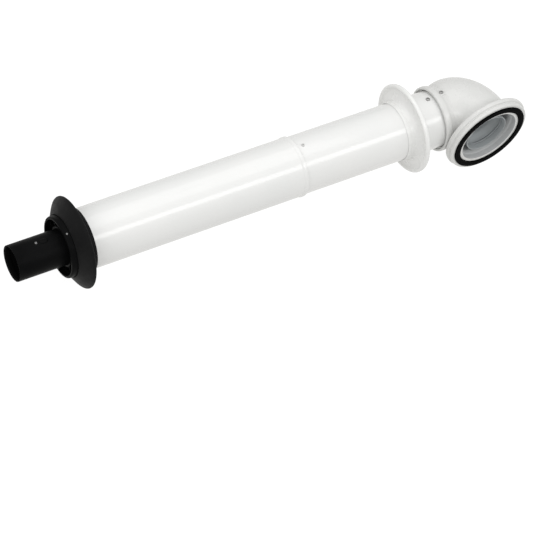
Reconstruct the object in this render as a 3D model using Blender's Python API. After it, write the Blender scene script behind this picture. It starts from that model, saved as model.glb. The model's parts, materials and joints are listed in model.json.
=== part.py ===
"""Room-sealed boiler flue: elbow, telescopic twin-wall duct, two wall trims and terminal.

Lengths below are in millimetres. Stations run along the flue axis from the outer
wall seal's rim (0), positive towards the elbow. The finished row is in metres, with
+X from terminal to elbow, the elbow's boiler flange facing -Y and +Z up.
"""

import bpy
import bmesh
from math import cos, sin, tan, radians, pi
from mathutils import Matrix

MM = 0.001
ORIGIN_STATION = 350.3      # station that becomes X = 0
AXIS_HEIGHT = 76.5          # flue axis above the floor: radius of the outer wall seal

# outer air duct
SLEEVE_R, SLEEVE_BORE = 50.0, 49.15
SLEEVE_START, SLEEVE_END = -13.5, 396.0
DUCT_R, DUCT_BORE = 48.8, 47.95
DUCT_START, DUCT_END = 196.0, 676.4

# inner flue
FLUE_R, FLUE_BORE = 30.0, 28.8
OUTER_FLUE_R, OUTER_FLUE_BORE = 31.8, 30.5
NOZZLE_TIP = -109.0
FLUE_START, FLUE_END = 232.0, 692.0

# elbow: 93 degrees between flue and outlet, so the path turns 87 degrees
TURN = radians(87.0)
CORNER = 730.0              # station where the two axes cross
MOUTH = 657.0
SHELL_BEND, INNER_BEND = 55.0, 36.0
SHELL_R, SHELL_BORE = 52.2, 49.3
FLANGE_R = 76.5
FLANGE_FACE = 70.0          # flange face, measured from the corner along the outlet
GASKET_FACE = 72.6

SEAL_R = AXIS_HEIGHT
PLATE_R = 76.5

SCREW_SIDE = radians(81.0)  # screws sit this far round from +Y towards +Z
STOP_SIDE = radians(88.0)

PALETTE = {
    "white_enamel": ((0.86, 0.87, 0.86), 0.18, 0.0),
    "white_plastic": ((0.80, 0.81, 0.80), 0.28, 0.0),
    "black_plastic": ((0.018, 0.018, 0.020), 0.38, 0.0),
    "black_rubber": ((0.016, 0.016, 0.017), 0.62, 0.0),
    "grey_rubber": ((0.30, 0.31, 0.32), 0.60, 0.0),
    "aluminium": ((0.62, 0.63, 0.65), 0.38, 1.0),
    "grey_plastic": ((0.42, 0.44, 0.46), 0.45, 0.0),
    "screw_steel": ((0.66, 0.66, 0.66), 0.30, 1.0),
}

for old in list(bpy.data.objects):
    bpy.data.objects.remove(old, do_unlink=True)


def paint(slot):
    mat = bpy.data.materials.get(slot)
    if mat is None:
        color, rough, metal = PALETTE[slot]
        mat = bpy.data.materials.new(slot)
        mat.use_nodes = True
        shader = mat.node_tree.nodes["Principled BSDF"]
        shader.inputs["Base Color"].default_value = (*color, 1.0)
        shader.inputs["Roughness"].default_value = rough
        shader.inputs["Metallic"].default_value = metal
        mat.diffuse_color = (*color, 1.0)
    return mat


def solid(name, verts, faces, slot, station):
    """One closed body; its origin is on the flue axis at the station."""
    mesh = bpy.data.meshes.new(name)
    shifted = [((x - station) * MM, y * MM, z * MM) for x, y, z in verts]
    mesh.from_pydata(shifted, [], faces)
    bm = bmesh.new()
    bm.from_mesh(mesh)
    bmesh.ops.recalc_face_normals(bm, faces=bm.faces)
    bm.to_mesh(mesh)
    bm.free()
    obj = bpy.data.objects.new(name, mesh)
    bpy.context.scene.collection.objects.link(obj)
    obj.location = ((station - ORIGIN_STATION) * MM, 0.0, AXIS_HEIGHT * MM)
    if slot:
        mesh.materials.append(paint(slot))
    mesh.shade_smooth()
    mesh.set_sharp_from_angle(angle=radians(32.0))
    return obj


def ring_of_rings(rings):
    """Faces of a closed tube whose cross-section loop is made of equal rings."""
    count, seg = len(rings), len(rings[0])
    verts = [v for ring in rings for v in ring]
    faces = []
    for i in range(count):
        j = (i + 1) % count
        for k in range(seg):
            m = (k + 1) % seg
            faces.append((i * seg + k, i * seg + m, j * seg + m, j * seg + k))
    return verts, faces


def lathe(name, profile, slot, station, seg=40):
    """Revolve a closed (station, radius) loop about the flue axis."""
    rings = []
    for x, r in profile:
        turn = [2 * pi * k / seg for k in range(seg)]
        rings.append([(x, r * cos(t), r * sin(t)) for t in turn])
    verts, faces = ring_of_rings(rings)
    return solid(name, verts, faces, slot, station)


def elbow_frame(bend, place, value):
    """Centre and direction angle at a place along an elbow's path."""
    reach = bend * tan(TURN / 2)
    if place == "in":
        return (value, 0.0), 0.0
    if place == "out":
        return (CORNER + value * cos(TURN), -value * sin(TURN)), TURN
    a = TURN * value
    return (CORNER - reach + bend * sin(a), -bend * (1 - cos(a))), a


def swept(name, bend, stations, slot, seg=40):
    """Sweep a closed loop of (place, value, radius, outward shift) rings round the bend."""
    rings = []
    for place, value, r, *shift in stations:
        (cx, cy), a = elbow_frame(bend, place, value)
        ring = []
        for k in range(seg):
            t = 2 * pi * k / seg
            side = r * cos(t) + sum(shift)
            ring.append((cx + side * sin(a), cy + side * cos(a), r * sin(t)))
        rings.append(ring)
    verts, faces = ring_of_rings(rings)
    return solid(name, verts, faces, slot, CORNER)


def bend_run(steps, r_start, r_end, swell=0.0):
    """Rings through the bend; each swells on its outer side, most at half way."""
    run = []
    for i in range(steps + 1):
        f = i / steps
        grow = swell * sin(pi * f ** 0.7)
        run.append(("bend", f, r_start + (r_end - r_start) * f + grow, grow))
    return run


def spacer(name, x0, x1, bore, hub, reach, slot, arm_half=7.0, spread=(90.0, 210.0, 330.0)):
    """Centring ring with three arms, cut from sheet of length x1 - x0."""
    angles = set()
    for k in range(36):
        angles.add(round(k * 10.0, 4))
    for arm in spread:
        for edge in (-arm_half - 1.5, -arm_half, 0.0, arm_half, arm_half + 1.5):
            angles.add(round((arm + edge) % 360.0, 4))
    order = sorted(angles)

    def outline(t):
        off = min(abs((t - arm + 180.0) % 360.0 - 180.0) for arm in spread)
        return reach if off <= arm_half + 0.01 else hub

    rings = []
    for x, inner in ((x0, True), (x0, False), (x1, False), (x1, True)):
        ring = []
        for t in order:
            r = bore if inner else outline(t)
            ring.append((x, r * cos(radians(t)), r * sin(radians(t))))
        rings.append(ring)
    verts, faces = ring_of_rings(rings)
    return solid(name, verts, faces, slot, x0)


def radial_frame(x, angle, r):
    """Matrix that stands a local +Z tool radially on the flue at radius r."""
    place = Matrix.Translation(((x - ORIGIN_STATION) * MM, r * cos(angle) * MM,
                                (AXIS_HEIGHT + r * sin(angle)) * MM))
    return place @ Matrix.Rotation(angle - pi / 2, 4, "X")


def rod(name, profile, slot, x, angle, seg=16):
    """Solid of revolution standing radially out of the flue; profile is (radius, height)."""
    verts, faces = [], []
    for r, h in profile:
        for k in range(seg):
            t = 2 * pi * k / seg
            verts.append((r * cos(t) * MM, r * sin(t) * MM, h * MM))
    for i in range(len(profile) - 1):
        for k in range(seg):
            m = (k + 1) % seg
            faces.append((i * seg + k, i * seg + m, (i + 1) * seg + m, (i + 1) * seg + k))
    faces.append(tuple(range(seg)))
    faces.append(tuple((len(profile) - 1) * seg + k for k in range(seg)))
    mesh = bpy.data.meshes.new(name)
    mesh.from_pydata(verts, [], faces)
    bm = bmesh.new()
    bm.from_mesh(mesh)
    bmesh.ops.recalc_face_normals(bm, faces=bm.faces)
    bm.to_mesh(mesh)
    bm.free()
    obj = bpy.data.objects.new(name, mesh)
    bpy.context.scene.collection.objects.link(obj)
    obj.matrix_world = radial_frame(x, angle, 0.0)
    if slot:
        mesh.materials.append(paint(slot))
        mesh.shade_smooth()
        mesh.set_sharp_from_angle(angle=radians(32.0))
    return obj


def cut(target, tool, operation="DIFFERENCE"):
    """Boolean that keeps the tool hidden as a wire."""
    mod = target.modifiers.new(tool.name, "BOOLEAN")
    mod.operation = operation
    mod.solver = "EXACT"
    mod.object = tool
    tool.hide_render = True
    tool.display_type = "WIRE"


def screw(name, x, angle, seat, depth, head_r=3.6, shank_r=1.5, slot="screw_steel"):
    """Pan-head screw: the head's seat is at the radius seat, the tip depth below it."""
    head = [(shank_r * 0.35, seat - depth), (shank_r, seat - depth + 1.2), (shank_r, seat),
            (head_r, seat), (head_r, seat + 0.9), (head_r * 0.86, seat + 1.7),
            (head_r * 0.5, seat + 2.1)]
    obj = rod(name, head, slot, x, angle)
    for side in (0, 1):
        bpy.ops.mesh.primitive_cube_add(size=1.0)
        bar = bpy.context.object
        bar.name = f"{name}_slot_{side}"
        bar.dimensions = (3.6 * MM, 0.8 * MM, 2.2 * MM)
        bpy.ops.object.transform_apply(location=False, rotation=False, scale=True)
        turn = Matrix.Rotation(radians(45.0 + 90.0 * side), 4, "Z")
        lift = Matrix.Translation((0.0, 0.0, (seat + 2.1) * MM))
        bar.matrix_world = radial_frame(x, angle, 0.0) @ lift @ turn
        cut(obj, bar)
    return obj


def drill(target, name, x, angle, r, low, high):
    hole = rod(name, [(r, low), (r, high)], None, x, angle, seg=24)
    cut(target, hole)


# --- terminal-side duct ------------------------------------------------------

lathe("sleeve_duct", [
    (SLEEVE_START, SLEEVE_R), (388.6, SLEEVE_R), (389.8, 50.9), (391.2, 51.4),
    (394.6, 51.4), (SLEEVE_END, 50.8), (SLEEVE_END, SLEEVE_BORE), (395.0, SLEEVE_BORE),
    (394.8, 50.5), (390.8, 50.5), (390.6, SLEEVE_BORE), (SLEEVE_START, SLEEVE_BORE),
], "white_enamel", SLEEVE_START)

lathe("sleeve_lip_seal", [
    (391.2, 50.2), (394.4, 50.2), (394.4, 49.15), (393.4, 49.15), (391.2, 49.5),
], "black_rubber", 391.0)

nozzle = lathe("terminal_nozzle", [
    (NOZZLE_TIP, 28.9), (NOZZLE_TIP + 0.6, 29.7), (NOZZLE_TIP + 1.8, FLUE_R),
    (44.0, FLUE_R), (44.0, 28.2), (NOZZLE_TIP + 1.2, 28.2),
], "black_plastic", NOZZLE_TIP, seg=36)

bpy.ops.mesh.primitive_cube_add(size=1.0)
pad = bpy.context.object
pad.name = "nozzle_pad"
pad.dimensions = (18.0 * MM, 11.0 * MM, 3.0 * MM)
bpy.ops.object.transform_apply(location=False, rotation=False, scale=True)
pad.matrix_world = radial_frame(-50.0, radians(86.0), 29.6)
round_off = pad.modifiers.new("soft", "BEVEL")
round_off.width = 0.8 * MM
round_off.segments = 2
cut(nozzle, pad, "UNION")
stud = rod("nozzle_stud", [(2.2, 29.2), (2.2, 31.6), (1.4, 32.5)], None, -69.0, radians(86.0), 16)
cut(nozzle, stud, "UNION")

ring = lathe("terminal_air_ring", [
    (-29.5, 46.6), (-29.5, 49.4), (-27.9, 51.0), (-13.9, 51.0), (-13.9, 48.75),
    (10.0, 48.75), (10.0, 46.6), (4.0, 46.6), (4.0, 33.4), (10.0, 33.4),
    (10.0, 30.4), (-24.0, 30.4), (-24.0, 33.4), (-20.0, 33.4), (-20.0, 46.6),
], "black_plastic", SLEEVE_START, seg=48)

stud = rod("ring_stud", [(2.0, 50.0), (2.0, 51.8), (1.3, 52.6)], None, -24.4, radians(104.0), 16)
cut(ring, stud, "UNION")

WINDOWS = 16
verts, faces = [], []
for w in range(WINDOWS):
    base = len(verts)
    middle = 2 * pi * (w + 0.5) / WINDOWS
    half_in, half_out = radians(8.9), radians(9.6)
    loop = []
    for f in (-1.0, 0.0, 1.0):
        loop.append((46.3, middle + half_out * f))
    for f in (1.0, 0.0, -1.0):
        loop.append((33.8, middle + half_in * f))
    for x in (-40.0, 20.0):
        for r, t in loop:
            verts.append((x, r * cos(t), r * sin(t)))
    faces.append(tuple(range(base, base + 6)))
    faces.append(tuple(range(base + 6, base + 12)))
    for k in range(6):
        m = (k + 1) % 6
        faces.append((base + k, base + m, base + 6 + m, base + 6 + k))
cut(ring, solid("air_ring_windows", verts, faces, None, 0.0))

lathe("external_wall_seal", [
    (-19.5, 51.6), (-19.5, 53.2), (-18.4, 54.4), (-16.4, 57.8), (-12.6, 63.8),
    (-8.4, 70.4), (-5.6, 74.2), (-4.0, 75.8), (-2.2, SEAL_R), (-0.8, 76.2), (0.0, 75.4),
    (0.0, 70.4), (-2.6, 69.6), (-8.4, 63.0), (-12.0, 57.0), (-12.2, 54.2), (12.0, 53.4),
    (14.0, 52.4), (14.0, 50.4), (-13.2, 50.4), (-13.2, 51.6),
], "black_rubber", 0.0)

lathe("terminal_inner_pipe", [
    (15.0, OUTER_FLUE_R), (17.0, OUTER_FLUE_R), (18.4, 34.0), (24.6, 34.0),
    (26.0, OUTER_FLUE_R), (372.0, OUTER_FLUE_R), (373.4, 34.0), (379.6, 34.0),
    (381.0, OUTER_FLUE_R), (383.0, OUTER_FLUE_R), (383.0, OUTER_FLUE_BORE),
    (380.2, OUTER_FLUE_BORE), (379.0, 32.9), (374.0, 32.9), (372.8, OUTER_FLUE_BORE),
    (25.2, OUTER_FLUE_BORE), (24.0, 32.9), (19.0, 32.9), (17.8, OUTER_FLUE_BORE),
    (15.0, OUTER_FLUE_BORE),
], "aluminium", 15.0, seg=32)

for name, x in (("nozzle_joint_seal", 19.4), ("inner_pipe_lip_seal", 374.4)):
    lathe(name, [
        (x, 32.5), (x + 4.2, 32.5), (x + 4.2, 31.6), (x + 2.6, 30.35), (x + 1.6, 30.35),
        (x, 31.6),
    ], "black_rubber", x, seg=32)

spacer("front_sleeve_spacer", 70.0, 74.0, 32.15, 35.5, 48.8, "grey_plastic")
spacer("rear_sleeve_spacer", 160.0, 164.0, 32.15, 35.5, 48.8, "grey_plastic")
spacer("sliding_end_spacer", 362.0, 366.0, 32.15, 35.5, 47.6, "grey_plastic")

# --- boiler-side duct --------------------------------------------------------

duct = lathe("boiler_side_duct", [
    (DUCT_START, DUCT_R - 0.35), (DUCT_START + 1.5, DUCT_R), (DUCT_END - 0.6, DUCT_R),
    (DUCT_END, DUCT_R - 0.3), (DUCT_END, DUCT_BORE), (DUCT_START, DUCT_BORE),
], "white_enamel", DUCT_START)
drill(duct, "stop_screw_hole", 405.7, STOP_SIDE, 1.8, 44.0, 52.0)
drill(duct, "duct_screw_hole", 648.0, SCREW_SIDE, 1.8, 44.0, 52.0)

lathe("boiler_side_inner_pipe", [
    (FLUE_START, FLUE_R - 0.3), (FLUE_START + 1.5, FLUE_R), (FLUE_END - 1.5, FLUE_R),
    (FLUE_END, FLUE_R - 0.4), (FLUE_END, FLUE_BORE), (FLUE_START, FLUE_BORE),
], "aluminium", FLUE_START, seg=32)

for name, x, lean, hole in (("front_duct_spacer", 401.2, 88.0, "front_spacer_hole"),
                            ("rear_duct_spacer", 643.5, 81.0, "rear_spacer_hole")):
    arms = (lean, lean + 120.0, lean + 240.0)
    ring = spacer(name, x, x + 9.0, 30.35, 33.5, 47.6, "grey_plastic", 8.0, arms)
    drill(ring, hole, x + 4.5, radians(lean), 1.8, 38.5, 50.0)

screw("stop_screw", 405.7, STOP_SIDE, DUCT_R + 0.05, 9.0, head_r=2.5)
screw("duct_screw", 648.0, SCREW_SIDE, DUCT_R + 0.05, 9.0)

# --- internal wall plate -----------------------------------------------------

lathe("internal_wall_plate", [
    (586.0, 49.15), (586.0, 49.8), (586.8, 50.2), (591.4, 50.3), (591.9, 49.95),
    (593.1, 49.95), (593.6, 50.4), (597.4, 50.8), (601.0, 52.0), (604.0, 54.8), (606.2, 59.6),
    (607.2, 67.0), (603.6, 71.8), (603.6, 74.8), (605.0, 76.0),
    (607.4, PLATE_R), (610.2, 76.0), (611.8, 74.4), (612.0, 71.0),
    (609.2, 56.0), (608.0, 52.0), (608.0, 49.15),
], "white_plastic", 608.0)

# --- elbow -------------------------------------------------------------------

outside = [
    ("in", MOUTH, 53.8), ("in", 657.6, 55.2), ("in", 659.2, 56.0), ("in", 666.0, 56.0),
    ("in", 668.8, 54.8), ("in", 671.4, 53.2), ("in", 675.0, SHELL_R),
]
outside += bend_run(11, SHELL_R, 53.0, 5.4)
outside += [
    ("out", 53.0, 54.2), ("out", 53.8, 56.4), ("out", 54.0, 74.6), ("out", 54.8, 75.9),
    ("out", 56.2, FLANGE_R), ("out", 60.4, FLANGE_R), ("out", 61.8, 75.6),
    ("out", 62.4, 73.4), ("out", 63.8, 73.0), ("out", 64.6, 73.8),
    ("out", 68.0, 73.8), ("out", 69.4, 73.2), ("out", FLANGE_FACE, 72.0),
    ("out", FLANGE_FACE, 68.6), ("out", 68.8, 68.6), ("out", 68.8, 57.7),
    ("out", FLANGE_FACE, 57.7), ("out", FLANGE_FACE, 52.6),
]
inside = [("out", 60.0, 52.6), ("out", 58.0, 51.2)]
inside += reversed(bend_run(8, 48.0, 49.4, 4.6))
inside += [
    ("in", 677.0, 48.0), ("in", 676.8, SHELL_BORE), ("in", 667.8, SHELL_BORE),
    ("in", 667.6, 52.6), ("in", 662.8, 52.6), ("in", 662.6, SHELL_BORE),
    ("in", 661.4, SHELL_BORE), ("in", 661.0, 51.2), ("in", MOUTH, 52.0),
]
shell = swept("elbow_body", SHELL_BEND, outside + inside, "white_plastic")
boss = rod("elbow_screw_boss", [(5.4, 50.2), (5.4, 53.8), (4.8, 54.4)], None, 673.2, SCREW_SIDE, 24)
cut(shell, boss, "UNION")
drill(shell, "elbow_screw_hole", 673.2, SCREW_SIDE, 1.8, 48.9, 55.0)
screw("elbow_screw", 673.2, SCREW_SIDE, 54.45, 5.3)

inner_out = [
    ("in", 661.0, 33.4), ("in", 662.0, 35.6), ("in", 668.4, 35.6), ("in", 670.0, 32.4),
    ("in", 694.5, 32.4),
]
inner_out += bend_run(7, 31.4, 33.8)
inner_out += [
    ("out", 38.0, 35.4), ("out", 43.0, 37.8), ("out", 46.0, 38.6), ("out", 61.4, 38.6),
    ("out", 62.2, 38.2), ("out", 62.2, 37.2), ("out", 52.6, 37.0), ("out", 52.4, 37.8),
    ("out", 48.6, 37.8), ("out", 48.4, 37.0), ("out", 47.0, 36.8), ("out", 43.4, 36.0),
    ("out", 38.4, 33.6),
]
inner_out += reversed(bend_run(7, 28.9, 32.0))
inner_out += [
    ("in", 693.4, 28.9), ("in", 693.2, 30.5), ("in", 668.0, 30.5), ("in", 667.6, 34.4),
    ("in", 662.8, 34.4), ("in", 662.4, 30.5), ("in", 661.0, 30.5),
]
swept("elbow_inner_flue", INNER_BEND, inner_out, "aluminium", seg=32)

lathe("elbow_mouth_seal", [
    (663.1, 52.3), (667.3, 52.3), (667.3, 50.6), (666.0, 49.15), (664.6, 49.15),
    (663.1, 50.6),
], "black_rubber", 663.0)

lathe("elbow_flue_inlet_seal", [
    (663.2, 34.0), (667.2, 34.0), (667.2, 31.8), (665.8, 30.35), (664.8, 30.35),
    (663.2, 31.8),
], "black_rubber", 663.0, seg=32)

swept("boiler_flue_seal", INNER_BEND, [
    ("out", 48.9, 37.5), ("out", 52.1, 37.5), ("out", 52.1, 36.6), ("out", 51.2, 35.9),
    ("out", 49.8, 35.9), ("out", 48.9, 36.6),
], "grey_rubber", seg=32)

swept("boiler_flange_gasket", SHELL_BEND, [
    ("out", 69.1, 58.1), ("out", 69.1, 68.3), ("out", 72.1, 68.3), ("out", GASKET_FACE, 67.8),
    ("out", GASKET_FACE, 58.6), ("out", 72.1, 58.1),
], "black_rubber")
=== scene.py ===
"""Looks for the room-sealed boiler flue: terminal, telescopic ducts, wall trims and elbow.

Profiles are in millimetres on stations along the flue axis, counted from the rim of the
outer wall seal towards the elbow, as in the CAD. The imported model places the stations.
"""
import json
from math import cos, pi, radians, sin, tan

import bmesh
import bpy
from mathutils import Matrix, Vector


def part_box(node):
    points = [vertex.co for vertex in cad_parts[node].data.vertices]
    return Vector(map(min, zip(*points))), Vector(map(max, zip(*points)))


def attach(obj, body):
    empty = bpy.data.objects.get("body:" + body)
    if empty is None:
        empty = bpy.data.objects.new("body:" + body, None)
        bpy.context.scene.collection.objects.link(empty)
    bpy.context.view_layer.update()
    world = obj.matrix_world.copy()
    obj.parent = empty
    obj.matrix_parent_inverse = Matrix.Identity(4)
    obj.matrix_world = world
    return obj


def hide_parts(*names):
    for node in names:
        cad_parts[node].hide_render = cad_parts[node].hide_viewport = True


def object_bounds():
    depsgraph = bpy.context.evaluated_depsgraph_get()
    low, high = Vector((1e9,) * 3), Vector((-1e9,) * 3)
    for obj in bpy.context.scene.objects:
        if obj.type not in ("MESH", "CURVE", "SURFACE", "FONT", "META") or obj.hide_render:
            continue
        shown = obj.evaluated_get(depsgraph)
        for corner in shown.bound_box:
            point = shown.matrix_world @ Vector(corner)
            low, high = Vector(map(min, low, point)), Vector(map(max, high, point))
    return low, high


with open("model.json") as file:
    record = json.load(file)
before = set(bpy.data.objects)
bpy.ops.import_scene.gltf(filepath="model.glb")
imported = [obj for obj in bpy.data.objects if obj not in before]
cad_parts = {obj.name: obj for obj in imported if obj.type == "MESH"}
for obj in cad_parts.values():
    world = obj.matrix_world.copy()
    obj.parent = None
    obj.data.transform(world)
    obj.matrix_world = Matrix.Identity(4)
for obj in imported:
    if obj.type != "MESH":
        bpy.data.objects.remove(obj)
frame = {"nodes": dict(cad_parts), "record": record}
CAD_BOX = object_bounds()
MM = 0.001

# the flue axis and station 0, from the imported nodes
SLEEVE_LOW, SLEEVE_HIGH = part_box("sleeve_duct")
SLEEVE_START = -13.5
AXIS_Z = (SLEEVE_LOW.z + SLEEVE_HIGH.z) / 2
STATION_0 = SLEEVE_LOW.x - SLEEVE_START * MM

# elbow geometry
TURN = radians(87.0)
CORNER = 730.0
SHELL_BEND, INNER_BEND = 55.0, 36.0

# the bore's painted shade (a darker grey look) covers what is inside the first radius from the bend's
# start on, and inside the second radius from this fraction of the bend on
BEND_BORE_R, OUTLET_BORE_R, OUTLET_PART = 50.5, 52.8, 0.8

# screws and studs: stations, ways round the axis, and how far out the heads seat
STOP_SCREW_X, DUCT_SCREW_X, ELBOW_SCREW_X = 405.7, 648.0, 673.2
SCREW_SIDE, STOP_SIDE = radians(81.0), radians(88.0)
PAD_X, STUD_X, RING_STUD_X = -56.0, -69.0, -24.4
STUD_SIDE, RING_STUD_SIDE = radians(86.0), radians(104.0)
DUCT_SEAT, BOSS_SEAT = 48.85, 54.45
SCREW_HOLE_R = 1.8

# mesh fineness
LATHE_SEG = 144
BEND_STEP = 2.2
SHARP = radians(40.0)

# ---------------------------------------------------------------- camera and light

CAMERA_AIM = Vector((-0.1022, -0.1712, 0.0982))
CAMERA_RIGHT = Vector((0.86774, -0.47488, 0.14665))
CAMERA_BACK = Vector((-0.38558, -0.45705, 0.80152))
CAMERA_DISTANCE = 4.0
CAMERA_LENS = 172.7
FLOOR_GAP = 0.0004
FLOOR_GLOW = 0.96

back = CAMERA_BACK.normalized()
right = (CAMERA_RIGHT - back * CAMERA_RIGHT.dot(back)).normalized()
up = back.cross(right)
camera = bpy.data.objects.new("camera", bpy.data.cameras.new("camera"))
bpy.context.scene.collection.objects.link(camera)
camera.matrix_world = Matrix.Translation(CAMERA_AIM + back * CAMERA_DISTANCE) @ Matrix(
    (right, up, back)).transposed().to_4x4()
camera.data.lens = CAMERA_LENS
camera.data.sensor_width = 36.0
camera.data.clip_start, camera.data.clip_end = 0.05, 60.0
bpy.context.scene.camera = camera


def softbox(name, place, aim, width, height, power):
    """Rectangular light at a place, turned to a point; metres and watts."""
    light = bpy.data.lights.new(name, "AREA")
    light.shape = "RECTANGLE"
    light.size, light.size_y = width, height
    light.energy = power
    box = bpy.data.objects.new(name, light)
    bpy.context.scene.collection.objects.link(box)
    way = Vector(aim) - Vector(place)
    side = Vector((1, 0, 0))
    z = -way.normalized()
    x = (side - z * side.dot(z)).normalized()
    y = z.cross(x)
    box.matrix_world = Matrix.Translation(place) @ Matrix((x, y, z)).transposed().to_4x4()


world = bpy.data.worlds.new("studio")
bpy.context.scene.world = world
world.use_nodes = True
sky = world.node_tree
aim_from = sky.nodes.new("ShaderNodeTexCoord")
height = sky.nodes.new("ShaderNodeSeparateXYZ")
climb = sky.nodes.new("ShaderNodeMapRange")
climb.inputs["From Min"].default_value = -1.0
fade = sky.nodes.new("ShaderNodeValToRGB")
sky.links.new(aim_from.outputs["Generated"], height.inputs["Vector"])
sky.links.new(height.outputs["Z"], climb.inputs["Value"])
sky.links.new(climb.outputs["Result"], fade.inputs["Fac"])
sky.links.new(fade.outputs["Color"], sky.nodes["Background"].inputs["Color"])
fade.color_ramp.elements[0].position, fade.color_ramp.elements[1].position = 0.30, 0.95
fade.color_ramp.elements[0].color = (0.82, 0.815, 0.80, 1.0)
fade.color_ramp.elements[1].color = (0.88, 0.88, 0.875, 1.0)
fade.color_ramp.elements.new(0.60).color = (0.56, 0.558, 0.55, 1.0)
sky.nodes["Background"].inputs["Strength"].default_value = 1.0
softbox("canopy", (-0.05, 0.65, 2.1), (-0.05, 0.65, 0.0), 2.4, 2.0, 11.5)
softbox("end_fill", (-2.0, -0.5, 1.3), (-0.2, 0.0, 0.05), 1.3, 1.0, 8.0)
softbox("front_strip", (0.95, -1.47, 1.69), (0.05, 0.0, 0.08), 3.4, 0.62, 14.5)
bpy.context.scene.view_settings.view_transform = "Standard"

floor_mesh = bpy.data.meshes.new("floor")
floor_mesh.from_pydata([(-9, -9, 0), (9, -9, 0), (9, 9, 0), (-9, 9, 0)], [], [(0, 1, 2, 3)])
floor = bpy.data.objects.new("floor", floor_mesh)
bpy.context.scene.collection.objects.link(floor)
floor.location.z = CAD_BOX[0].z - FLOOR_GAP
floor.visible_diffuse = floor.visible_glossy = floor.visible_shadow = False

# ---------------------------------------------------------------- materials


class Finish:
    """A Principled material with short calls for its node graph."""

    def __init__(self, name, **settings):
        self.mat = bpy.data.materials.new(name)
        self.mat.use_nodes = True
        self.tree = self.mat.node_tree
        self.shader = self.tree.nodes["Principled BSDF"]
        coords = self.tree.nodes.new("ShaderNodeTexCoord")
        self.here = coords.outputs["Object"]
        for key, value in settings.items():
            self.shader.inputs[key.replace("_", " ")].default_value = value

    def stretched(self, scale):
        node = self.tree.nodes.new("ShaderNodeMapping")
        node.inputs["Scale"].default_value = scale
        self.tree.links.new(self.here, node.inputs["Vector"])
        return node.outputs["Vector"]

    def noise(self, scale, detail=3.0, rough=0.55, where=None):
        node = self.tree.nodes.new("ShaderNodeTexNoise")
        node.inputs["Scale"].default_value = scale
        node.inputs["Detail"].default_value = detail
        node.inputs["Roughness"].default_value = rough
        self.tree.links.new(where or self.here, node.inputs["Vector"])
        return node.outputs["Fac"]

    def ramp(self, value, low, high, to_low=0.0, to_high=1.0):
        node = self.tree.nodes.new("ShaderNodeMapRange")
        for key, number in (("From Min", low), ("From Max", high), ("To Min", to_low), ("To Max", to_high)):
            node.inputs[key].default_value = number
        self.tree.links.new(value, node.inputs["Value"])
        return node.outputs["Result"]

    def math(self, operation, a, b):
        node = self.tree.nodes.new("ShaderNodeMath")
        node.operation = operation
        for socket, value in zip(node.inputs, (a, b)):
            if isinstance(value, (int, float)):
                socket.default_value = value
            else:
                self.tree.links.new(value, socket)
        return node.outputs[0]

    def mix(self, factor, first, second):
        node = self.tree.nodes.new("ShaderNodeMix")
        node.data_type = "RGBA"
        self.tree.links.new(factor, node.inputs[0])
        for socket, value in ((node.inputs[6], first), (node.inputs[7], second)):
            if isinstance(value, tuple):
                socket.default_value = (*value, 1.0)
            else:
                self.tree.links.new(value, socket)
        return node.outputs[2]

    def color(self, value):
        self.tree.links.new(value, self.shader.inputs["Base Color"])

    def roughness(self, value):
        self.tree.links.new(value, self.shader.inputs["Roughness"])

    def bump(self, height, distance, strength=1.0):
        node = self.tree.nodes.new("ShaderNodeBump")
        node.inputs["Strength"].default_value = strength
        node.inputs["Distance"].default_value = distance
        self.tree.links.new(height, node.inputs["Height"])
        self.tree.links.new(node.outputs["Normal"], self.shader.inputs["Normal"])


def white_enamel():
    f = Finish("white_enamel", Coat_Weight=0.55, Coat_Roughness=0.07, Specular_IOR_Level=0.5)
    cloud = f.ramp(f.noise(7.0, 2.0), 0.35, 0.65)
    speck = f.ramp(f.noise(900.0, 1.0), 0.72, 0.80)
    scuff = f.ramp(f.noise(60.0, 5.0, 0.7, f.stretched((0.12, 1.0, 1.0))), 0.62, 0.78)
    body = f.mix(cloud, (0.775, 0.780, 0.772), (0.800, 0.800, 0.790))
    worn = f.mix(f.math("MULTIPLY", scuff, 0.35), body, (0.70, 0.70, 0.69))
    f.color(f.mix(f.math("MULTIPLY", speck, 0.5), worn, (0.60, 0.60, 0.58)))
    f.roughness(f.math("ADD", f.ramp(f.noise(35.0), 0.3, 0.7, 0.13, 0.20), f.math("MULTIPLY", scuff, 0.10)))
    f.bump(f.noise(420.0, 2.0, 0.4), 0.00004, 0.5)
    return f.mat


def white_plastic(name="white_plastic", low=(0.785, 0.788, 0.776), high=(0.808, 0.809, 0.797)):
    f = Finish(name, Coat_Weight=0.25, Coat_Roughness=0.16, Specular_IOR_Level=0.5)
    cloud = f.ramp(f.noise(14.0, 3.0), 0.35, 0.65)
    scuff = f.ramp(f.noise(85.0, 6.0, 0.7), 0.66, 0.80)
    body = f.mix(cloud, low, high)
    f.color(f.mix(f.math("MULTIPLY", scuff, 0.2), body, tuple(c * 0.9 for c in low)))
    f.roughness(f.math("ADD", f.ramp(f.noise(50.0), 0.3, 0.7, 0.25, 0.29), f.math("MULTIPLY", scuff, 0.05)))
    grain = f.math("ADD", f.noise(1400.0, 2.0, 0.5), f.math("MULTIPLY", f.noise(180.0, 2.0), 1.5))
    f.bump(grain, 0.00003, 0.6)
    return f.mat


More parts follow.
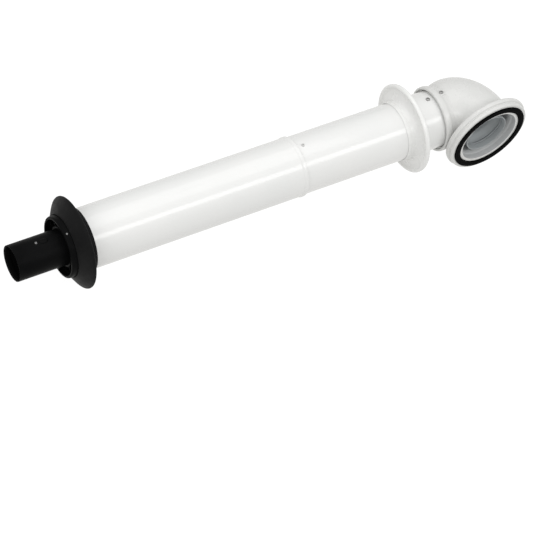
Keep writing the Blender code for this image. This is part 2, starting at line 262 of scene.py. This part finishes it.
def black_plastic():
    f = Finish("black_plastic", Specular_IOR_Level=0.03)
    cloud = f.ramp(f.noise(30.0, 4.0), 0.3, 0.7)
    dust = f.ramp(f.noise(260.0, 6.0, 0.75), 0.60, 0.82)
    body = f.mix(cloud, (0.0028, 0.0029, 0.0031), (0.0052, 0.0053, 0.0055))
    f.color(f.mix(f.math("MULTIPLY", dust, 0.18), body, (0.040, 0.040, 0.038)))
    f.roughness(f.ramp(f.noise(70.0, 4.0), 0.3, 0.7, 0.34, 0.46))
    grain = f.math("ADD", f.noise(1700.0, 2.0, 0.5), f.math("MULTIPLY", f.noise(320.0, 2.0), 0.8))
    f.bump(grain, 0.00009, 0.7)
    return f.mat


def black_rubber(name="black_rubber", dark=(0.0035, 0.0036, 0.0038), pale=(0.0065, 0.0066, 0.0068),
                 shine=0.09):
    f = Finish(name, Specular_IOR_Level=shine, Sheen_Weight=shine * 0.4, Sheen_Roughness=0.5)
    cloud = f.ramp(f.noise(22.0, 5.0, 0.6), 0.3, 0.7)
    bloom = f.ramp(f.noise(120.0, 6.0, 0.7), 0.55, 0.85)
    body = f.mix(cloud, dark, pale)
    f.color(f.mix(f.math("MULTIPLY", bloom, 0.30), body, tuple(c * 3.4 for c in pale)))
    f.roughness(f.ramp(f.noise(90.0, 4.0), 0.3, 0.7, 0.48, 0.62))
    grain = f.math("ADD", f.noise(1100.0, 2.0), f.math("MULTIPLY", f.noise(150.0, 3.0), 1.2))
    f.bump(grain, 0.00010, 0.7)
    return f.mat


def cast_grey(name, low, high, metal, rough):
    f = Finish(name, Metallic=metal, Specular_IOR_Level=0.45)
    cloud = f.ramp(f.noise(26.0, 4.0), 0.3, 0.7)
    f.color(f.mix(cloud, low, high))
    f.roughness(f.ramp(f.noise(120.0, 4.0), 0.3, 0.7, rough, rough + 0.10))
    f.bump(f.noise(900.0, 3.0, 0.6), 0.00005, 0.5)
    return f.mat


def drawn_metal(name, low, high, rough):
    f = Finish(name, Metallic=1.0)
    lines = f.noise(500.0, 3.0, 0.6, f.stretched((0.02, 1.0, 1.0)))
    f.color(f.mix(f.ramp(lines, 0.3, 0.7), low, high))
    f.roughness(f.ramp(f.noise(40.0, 3.0), 0.3, 0.7, rough, rough + 0.14))
    f.bump(lines, 0.00004, 0.5)
    return f.mat


def studio_floor():
    f = Finish("studio_floor", Specular_IOR_Level=0.2)
    f.color(f.mix(f.ramp(f.noise(0.8, 2.0), 0.3, 0.7), (0.10, 0.10, 0.10), (0.105, 0.105, 0.105)))
    f.roughness(f.ramp(f.noise(3.0), 0.3, 0.7, 0.75, 0.85))
    f.shader.inputs["Emission Color"].default_value = (1, 1, 1, 1)
    f.shader.inputs["Emission Strength"].default_value = FLOOR_GLOW
    return f.mat


LOOKS = {
    "white_enamel": white_enamel(),
    "white_plastic": white_plastic(),
    "elbow_white": white_plastic("elbow_white", (0.660, 0.662, 0.650), (0.685, 0.686, 0.674)),
    "black_plastic": black_plastic(),
    "black_rubber": black_rubber(),
    "gasket_rubber": black_rubber("gasket_rubber", (0.0018, 0.0019, 0.0020), (0.0035, 0.0036, 0.0037), 0.01),
    "grey_rubber": black_rubber("grey_rubber", (0.29, 0.31, 0.32), (0.33, 0.35, 0.36)),
    "aluminium": drawn_metal("aluminium", (0.52, 0.53, 0.55), (0.66, 0.67, 0.69), 0.30),
    "elbow_aluminium": cast_grey("elbow_aluminium", (0.37, 0.395, 0.405), (0.42, 0.445, 0.455), 0.15, 0.50),
    # darker grey for the elbow's bore: painted shade inside the elbow
    "elbow_bore_shade": cast_grey("elbow_bore_shade", (0.475, 0.485, 0.488), (0.52, 0.53, 0.533), 0.0, 0.52),
    "grey_plastic": cast_grey("grey_plastic", (0.34, 0.36, 0.38), (0.42, 0.44, 0.46), 0.0, 0.42),
    "painted_steel": drawn_metal("painted_steel", (0.62, 0.62, 0.61), (0.74, 0.74, 0.73), 0.34),
    "polished_stud": cast_grey("polished_stud", (0.17, 0.17, 0.17), (0.25, 0.25, 0.25), 0.85, 0.22),
    "screw_steel": drawn_metal("screw_steel", (0.33, 0.328, 0.322), (0.45, 0.447, 0.440), 0.32),
}

floor_mesh.materials.append(studio_floor())

# ---------------------------------------------------------------- shape helpers


def soften(loop, steps=4):
    """Round every corner of a closed loop of (station, radius, corner) with a short curve."""
    out = []
    count = len(loop)
    for i, point in enumerate(loop):
        here = Vector(point[:2])
        before = Vector(loop[i - 1][:2]) - here
        after = Vector(loop[(i + 1) % count][:2]) - here
        size = point[2] if len(point) > 2 else 0.4
        size = min(size, before.length * 0.48, after.length * 0.48)
        if size < 0.02:
            out.append((here.x, here.y))
            continue
        a, b = here + before.normalized() * size, here + after.normalized() * size
        for k in range(steps + 1):
            t = k / steps
            p = a * (1 - t) ** 2 + here * 2 * t * (1 - t) + b * t ** 2
            out.append((p.x, p.y))
    return out


def solid(name, verts, faces, look):
    """Object from a closed mesh; a cutter has no look."""
    mesh = bpy.data.meshes.new(name)
    mesh.from_pydata(verts, [], faces)
    bm = bmesh.new()
    bm.from_mesh(mesh)
    bmesh.ops.recalc_face_normals(bm, faces=bm.faces)
    bm.to_mesh(mesh)
    bm.free()
    mesh.shade_smooth()
    mesh.set_sharp_from_angle(angle=SHARP)
    if look:
        mesh.materials.append(LOOKS[look])
    piece = bpy.data.objects.new(name, mesh)
    bpy.context.scene.collection.objects.link(piece)
    return piece


def skin_rings(rings):
    """Closed quads through a loop of equal rings."""
    count, seg = len(rings), len(rings[0])
    verts = [v for ring in rings for v in ring]
    faces = []
    for i in range(count):
        j = (i + 1) % count
        for k in range(seg):
            m = (k + 1) % seg
            faces.append((i * seg + k, i * seg + m, j * seg + m, j * seg + k))
    return verts, faces


def lathe(name, loop, look):
    """Revolve a softened loop about the flue axis."""
    rings = []
    for x, r in soften(loop):
        ring = []
        for k in range(LATHE_SEG):
            t = 2 * pi * k / LATHE_SEG
            ring.append((STATION_0 + x * MM, r * cos(t) * MM, AXIS_Z + r * sin(t) * MM))
        rings.append(ring)
    return solid(name, *skin_rings(rings), look)


def path_at(bend, s):
    """Centre and heading at a distance s along the elbow path; s is 0 where the bend starts."""
    reach = bend * tan(TURN / 2)
    arc = bend * TURN
    if s <= 0:
        return (CORNER - reach + s, 0.0), 0.0
    if s >= arc:
        d = reach + s - arc
        return (CORNER + d * cos(TURN), -d * sin(TURN)), TURN
    a = s / bend
    return (CORNER - reach + bend * sin(a), -bend * (1 - cos(a))), a


def along(bend, place, value):
    """Distance along the path of a station on the inlet leg, the bend or the outlet leg."""
    reach = bend * tan(TURN / 2)
    if place == "in":
        return value - (CORNER - reach)
    if place == "out":
        return bend * TURN + value - reach
    return bend * TURN * value


def swept(name, bend, loop, look, swell=0.0, seg=128, bore_shade_look=None):
    """Sweep a softened loop of (place, value, radius, corner) round the elbow.

    The swell fattens the bend on its outer side, and the second look darkens the bore: painted shade.
    """
    arc = bend * TURN
    flat = [(along(bend, place, value), r, *corner) for place, value, r, *corner in loop]
    points = soften(flat)
    rings, bore_shaded = [], []
    for i, (s, r) in enumerate(points):
        s2, r2 = points[(i + 1) % len(points)]
        pieces = 1
        if min(s, s2) < arc and max(s, s2) > 0:
            pieces = max(1, int(abs(s2 - s) / BEND_STEP))
        for k in range(pieces):
            u = k / pieces
            place, radius = s + (s2 - s) * u, r + (r2 - r) * u
            (cx, cy), a = path_at(bend, place)
            f = min(1.0, max(0.0, place / arc))
            grow = swell * sin(pi * f ** 0.7)
            ring = []
            for q in range(seg):
                t = 2 * pi * q / seg
                side = (radius + grow) * cos(t) + grow
                ring.append((STATION_0 + (cx + side * sin(a)) * MM, (cy + side * cos(a)) * MM,
                             AXIS_Z + (radius + grow) * sin(t) * MM))
            rings.append(ring)
            # rings inside the bore take the darker look: painted shade
            bore_shaded.append(place > 0 and radius < BEND_BORE_R
                         or place > OUTLET_PART * arc and radius < OUTLET_BORE_R)
    piece = solid(name, *skin_rings(rings), look)
    if bore_shade_look:
        piece.data.materials.append(LOOKS[bore_shade_look])
        for face, polygon in enumerate(piece.data.polygons):
            polygon.material_index = int(bore_shaded[face // seg])
    return piece


def radial(x, angle, r=0.0):
    """Stand a local +Z piece on the flue at a station and a way round."""
    place = Matrix.Translation((STATION_0 + x * MM, r * cos(angle) * MM, AXIS_Z + r * sin(angle) * MM))
    return place @ Matrix.Rotation(angle - pi / 2, 4, "X")


def rod(name, profile, look, matrix, seg=40):
    """Closed solid of revolution about local Z; profile is (radius, height) from foot to top."""
    verts, faces = [], []
    for r, h in profile:
        for k in range(seg):
            t = 2 * pi * k / seg
            verts.append(tuple(matrix @ Vector((r * cos(t) * MM, r * sin(t) * MM, h * MM))))
    for i in range(len(profile) - 1):
        for k in range(seg):
            m = (k + 1) % seg
            faces.append((i * seg + k, i * seg + m, (i + 1) * seg + m, (i + 1) * seg + k))
    faces.append(tuple(range(seg)))
    faces.append(tuple((len(profile) - 1) * seg + k for k in range(seg)))
    return solid(name, verts, faces, look)


def carve(piece, tools, operation="DIFFERENCE"):
    """Boolean with each tool in turn, applied to the mesh."""
    for tool in tools:
        mod = piece.modifiers.new("carve", "BOOLEAN")
        mod.operation, mod.solver, mod.object = operation, "EXACT", tool
    depsgraph = bpy.context.evaluated_depsgraph_get()
    made = bpy.data.meshes.new_from_object(piece.evaluated_get(depsgraph))
    piece.modifiers.clear()
    piece.data = made
    made.set_sharp_from_angle(angle=SHARP)
    for tool in tools:
        bpy.data.objects.remove(tool)


def block(name, size, matrix):
    """Box to cut with."""
    bm = bmesh.new()
    bmesh.ops.create_cube(bm, size=1.0)
    bmesh.ops.scale(bm, vec=[v * MM for v in size], verts=bm.verts)
    bmesh.ops.transform(bm, matrix=matrix, verts=bm.verts)
    mesh = bpy.data.meshes.new(name)
    bm.to_mesh(mesh)
    bm.free()
    mesh.shade_smooth()
    mesh.set_sharp_from_angle(angle=SHARP)
    piece = bpy.data.objects.new(name, mesh)
    bpy.context.scene.collection.objects.link(piece)
    return piece


BODY_OF = {node: body for body, nodes in frame["record"]["behaviour"]["bodies"].items() for node in nodes}


def stands_for(piece, node):
    """The piece rides with the node's body and hides the node."""
    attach(piece, BODY_OF[node])
    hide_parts(node)
    return piece


# ---------------------------------------------------------------- terminal

nozzle = lathe("nozzle_tube", [
    (-109.0, 29.0, 0.5), (-109.0, 29.9, 0.5), (-107.5, 30.0, 0.6), (44.0, 30.0, 0.3),
    (44.0, 28.2, 0.3), (-98.0, 28.2, 1.5), (-100.0, 27.4, 0.8), (-106.6, 27.4, 0.8), (-108.4, 28.6, 0.6),
], "black_plastic")
pad = rod("pad", [(4.6, 28.8), (4.6, 30.2), (4.3, 30.8), (3.5, 31.3), (2.2, 31.6), (1.0, 31.7)],
          "black_plastic", radial(PAD_X, STUD_SIDE) @ Matrix.Diagonal((1.7, 1.0, 1.0, 1.0)))
carve(nozzle, [pad], "UNION")
stands_for(nozzle, "terminal_nozzle")
stud = rod("nozzle_stud", [(2.4, 29.0), (2.4, 31.0), (2.2, 31.7), (1.7, 32.2), (0.9, 32.5)],
           "polished_stud", radial(STUD_X, STUD_SIDE), 32)
stands_for(stud, "terminal_nozzle")

air_ring = lathe("air_ring", [
    (-29.5, 46.6, 0.8), (-29.5, 49.8, 1.2), (-27.2, 51.0, 1.2), (-13.9, 51.0, 0.2), (-13.9, 48.75, 0.2),
    (10.0, 48.75, 0.4), (10.0, 46.6, 0.3), (4.0, 46.6, 0.8), (4.0, 33.4, 0.8), (10.0, 33.4, 0.3),
    (10.0, 30.4, 0.3), (-24.0, 30.4, 0.3), (-24.0, 33.4, 0.4), (-20.0, 33.4, 0.8), (-20.0, 46.6, 0.8),
], "black_plastic")
WINDOWS, ARC_STEPS, CORNER_CUT = 16, 5, 0.8
verts, faces = [], []
for w in range(WINDOWS):
    middle = 2 * pi * (w + 0.5) / WINDOWS
    loop = []
    for r, half, way in ((46.3, 9.6, 1), (33.8, 8.9, -1)):
        for k in range(-ARC_STEPS, ARC_STEPS + 1):
            cut = way * CORNER_CUT if abs(k) == ARC_STEPS else 0.0
            loop.append((r - cut, middle + radians(half) * k * way / ARC_STEPS))
    base, n = len(verts), len(loop)
    for x in (-40.0, 20.0):
        for r, t in loop:
            verts.append((STATION_0 + x * MM, r * cos(t) * MM, AXIS_Z + r * sin(t) * MM))
    faces.append(tuple(range(base, base + n)))
    faces.append(tuple(range(base + n, base + 2 * n)))
    for k in range(n):
        m = (k + 1) % n
        faces.append((base + k, base + m, base + n + m, base + n + k))
carve(air_ring, [solid("windows", verts, faces, None)])
stands_for(air_ring, "terminal_air_ring")
ring_stud = rod("ring_stud", [(2.0, 49.6), (2.0, 51.4), (1.8, 52.0), (1.4, 52.4), (0.8, 52.6)],
                "polished_stud", radial(RING_STUD_X, RING_STUD_SIDE), 32)
stands_for(ring_stud, "terminal_air_ring")

wall_seal = lathe("outer_wall_seal", [
    (-19.5, 51.6, 0.3), (-19.5, 53.2, 0.6), (-18.4, 54.4, 1.2), (-16.4, 57.8, 1.5), (-12.6, 63.8, 2.5),
    (-8.4, 70.4, 2.5), (-5.6, 74.2, 1.8), (-4.0, 75.8, 0.9), (-2.2, 76.5, 0.9), (-0.8, 76.2, 0.6),
    (0.0, 75.4, 0.4), (0.0, 70.4, 0.6), (-2.6, 69.6, 1.2), (-8.4, 63.0, 2.0), (-12.0, 57.0, 1.5),
    (-12.2, 54.2, 0.8), (12.0, 53.4, 0.8), (14.0, 52.4, 0.6), (14.0, 50.4, 0.3), (-13.2, 50.4, 0.1),
    (-13.2, 51.6, 0.1),
], "black_rubber")
stands_for(wall_seal, "external_wall_seal")

# ---------------------------------------------------------------- ducts

sleeve = lathe("terminal_side_duct", [
    (SLEEVE_START, 50.0, 0.2), (387.8, 50.0, 1.2), (389.6, 51.0, 1.0), (391.0, 51.4, 1.0), (394.8, 51.4, 1.0),
    (396.0, 50.9, 0.6), (396.0, 49.25, 0.3), (395.0, 49.15, 0.3), (394.8, 50.5, 0.3), (390.8, 50.5, 0.3),
    (390.6, 49.15, 0.3), (SLEEVE_START, 49.15, 0.2),
], "white_enamel")
stands_for(sleeve, "sleeve_duct")

duct = lathe("boiler_duct", [
    (196.0, 48.5, 0.3), (197.5, 48.8, 0.6), (675.8, 48.8, 0.4), (676.4, 48.4, 0.2), (676.4, 47.95, 0.1),
    (196.0, 47.95, 0.1),
], "white_enamel")
carve(duct, [rod("hole", [(SCREW_HOLE_R, 44.0), (SCREW_HOLE_R, 52.0)], None, radial(x, turn), 32)
             for x, turn in ((STOP_SCREW_X, STOP_SIDE), (DUCT_SCREW_X, SCREW_SIDE))])
stands_for(duct, "boiler_side_duct")

plate = lathe("inner_wall_plate", [
    (586.0, 49.15, 0.2), (586.0, 49.8, 0.3), (586.8, 50.2, 0.5), (591.4, 50.3, 0.3), (591.9, 49.95, 0.3),
    (593.1, 49.95, 0.3), (593.6, 50.4, 0.3), (597.4, 50.8, 1.6), (601.0, 52.0, 1.8), (604.0, 54.8, 2.2),
    (606.2, 59.6, 3.0), (607.2, 67.0, 3.0), (603.6, 71.8, 1.4), (603.6, 74.6, 1.2), (605.0, 76.1, 1.0),
    (607.4, 76.5, 1.4), (610.2, 76.1, 1.2), (611.8, 74.4, 1.2), (612.0, 71.0, 1.4), (609.2, 56.0, 4.0),
    (608.0, 52.0, 1.2), (608.0, 49.15, 0.2),
], "white_plastic")
stands_for(plate, "internal_wall_plate")

# ---------------------------------------------------------------- elbow

# the shell's bore takes a darker grey look: painted shade
shell = swept("elbow_shell", SHELL_BEND, [
    ("in", 657.0, 53.8, 0.8), ("in", 657.6, 55.3, 0.9), ("in", 659.4, 56.0, 1.5), ("in", 666.0, 56.0, 2.4),
    ("in", 668.8, 54.8, 2.0), ("in", 671.4, 53.2, 2.0), ("in", 677.8, 52.2, 2.0), ("out", 52.2, 53.0, 1.0),
    ("out", 53.0, 54.2, 0.8), ("out", 53.8, 56.4, 1.2), ("out", 54.0, 74.6, 1.2), ("out", 54.8, 75.9, 0.9),
    ("out", 56.2, 76.5, 1.2), ("out", 60.4, 76.5, 1.4), ("out", 61.8, 75.6, 0.8), ("out", 62.4, 73.4, 0.6),
    ("out", 63.8, 73.0, 0.5), ("out", 64.6, 73.9, 0.6), ("out", 68.2, 73.8, 1.0), ("out", 69.5, 73.2, 0.7),
    ("out", 70.0, 72.0, 0.6), ("out", 70.0, 68.6, 0.3), ("out", 68.8, 68.6, 0.2), ("out", 68.8, 57.7, 0.2),
    ("out", 70.0, 57.7, 0.3), ("out", 70.0, 52.6, 0.9), ("out", 60.0, 52.6, 1.5), ("out", 58.0, 51.2, 1.5),
    ("out", 52.2, 49.4, 2.0), ("in", 677.8, 48.0, 0.6), ("in", 676.8, 49.3, 0.3), ("in", 667.8, 49.3, 0.3),
    ("in", 667.6, 52.6, 0.2), ("in", 662.8, 52.6, 0.1), ("in", 662.6, 49.3, 0.1), ("in", 661.4, 49.3, 0.3),
    ("in", 661.0, 51.2, 0.6), ("in", 657.0, 52.0, 0.6),
], "elbow_white", swell=5.4, bore_shade_look="elbow_bore_shade")
boss = rod("boss", [(6.0, 49.6), (5.9, 52.8), (5.5, 53.8), (4.9, 54.3), (4.2, 54.4)], "elbow_white",
           radial(ELBOW_SCREW_X, SCREW_SIDE))
carve(shell, [boss], "UNION")
carve(shell, [rod("hole", [(SCREW_HOLE_R, 48.0), (SCREW_HOLE_R, 56.0)], None,
                  radial(ELBOW_SCREW_X, SCREW_SIDE), 32)])
stands_for(shell, "elbow_body")

inner_flue = swept("elbow_flue", INNER_BEND, [
    ("in", 661.0, 33.4, 0.4), ("in", 662.0, 35.6, 0.6), ("in", 668.4, 35.6, 0.8), ("in", 670.0, 32.4, 1.0),
    ("in", 694.5, 31.4, 1.0), ("out", 34.2, 33.8, 2.0), ("out", 43.0, 37.8, 3.0), ("out", 46.0, 38.6, 1.6),
    ("out", 61.4, 38.6, 0.6), ("out", 62.2, 38.2, 0.4), ("out", 62.2, 37.2, 0.4), ("out", 52.6, 37.0, 0.2),
    ("out", 52.4, 37.8, 0.2), ("out", 48.6, 37.8, 0.2), ("out", 48.4, 37.0, 0.2), ("out", 47.0, 36.8, 1.0),
    ("out", 43.4, 36.0, 3.0), ("out", 34.2, 32.0, 3.0), ("in", 694.5, 28.9, 1.0), ("in", 693.4, 28.9, 0.3),
    ("in", 693.2, 30.5, 0.3), ("in", 668.0, 30.5, 0.3), ("in", 667.6, 34.4, 0.3), ("in", 662.8, 34.4, 0.3),
    ("in", 662.4, 30.5, 0.3), ("in", 661.0, 30.5, 0.3),
], "elbow_aluminium")
stands_for(inner_flue, "elbow_inner_flue")

gasket = swept("flange_gasket", SHELL_BEND, [
    ("out", 69.1, 58.1, 0.3), ("out", 69.1, 68.3, 0.3), ("out", 72.0, 68.3, 0.7), ("out", 72.6, 67.6, 0.8),
    ("out", 72.1, 65.6, 0.8), ("out", 72.6, 64.0, 1.0), ("out", 72.6, 62.4, 1.0), ("out", 72.1, 60.8, 0.8),
    ("out", 72.6, 58.8, 0.8), ("out", 72.0, 58.1, 0.7),
], "gasket_rubber", seg=144)
stands_for(gasket, "boiler_flange_gasket")


THREAD_START, THREAD_PITCH, THREAD_RUNOUT = 1.3, 0.6, 1.6
HEAD_HEIGHT = 2.1
RECESS = (3.7, 0.8, 2.4)


def screw(name, node, x, angle, seat, depth, wide=1.0, look="screw_steel"):
    """Pan-head screw with a cross recess and a cut thread; wide scales the head."""
    at = radial(x, angle)
    tip = seat - depth
    profile = [(0.5, tip), (1.45, tip + THREAD_START)]
    for k in range(int((depth - THREAD_RUNOUT) / THREAD_PITCH)):
        low = tip + THREAD_START + k * THREAD_PITCH
        profile += [(1.15, low + 0.15), (1.5, low + 0.32), (1.15, low + 0.5)]
    profile += [(1.4, seat - 0.1)]
    profile += [(r * wide, seat + h) for r, h in (
        (1.7, 0.0), (3.5, 0.0), (3.6, 0.15), (3.6, 0.8), (3.45, 1.25), (3.1, 1.65), (2.5, 1.93), (1.6, 2.08),
        (0.7, HEAD_HEIGHT))]
    piece = rod(name, profile, look, at, 32)
    length, width, height = RECESS
    lift = Matrix.Translation((0.0, 0.0, (seat + HEAD_HEIGHT) * MM))
    bars = []
    for turn in (45.0, 135.0):
        across = at @ lift @ Matrix.Rotation(radians(turn), 4, "Z")
        bars.append(block("bar", (length * wide, width, height), across))
    carve(piece, bars)
    stands_for(piece, node)


screw("duct_joint_screw", "stop_screw", STOP_SCREW_X, STOP_SIDE, DUCT_SEAT, depth=9.0, wide=0.69,
      look="painted_steel")
screw("duct_end_screw", "duct_screw", DUCT_SCREW_X, SCREW_SIDE, DUCT_SEAT, depth=9.0)
screw("elbow_clamp_screw", "elbow_screw", ELBOW_SCREW_X, SCREW_SIDE, BOSS_SEAT, depth=5.3)

# ---------------------------------------------------------------- carried-over CAD nodes

SLOT_OF = {
    "sleeve_lip_seal": "black_rubber", "nozzle_joint_seal": "black_rubber",
    "inner_pipe_lip_seal": "black_rubber", "elbow_mouth_seal": "black_rubber",
    "elbow_flue_inlet_seal": "black_rubber", "boiler_flue_seal": "grey_rubber",
    "terminal_inner_pipe": "aluminium", "boiler_side_inner_pipe": "aluminium",
    "front_sleeve_spacer": "grey_plastic", "rear_sleeve_spacer": "grey_plastic",
    "sliding_end_spacer": "grey_plastic", "front_duct_spacer": "grey_plastic",
    "rear_duct_spacer": "grey_plastic",
}
for node, look in SLOT_OF.items():
    slots = frame["nodes"][node].data.materials
    slots.clear()
    slots.append(LOOKS[look])
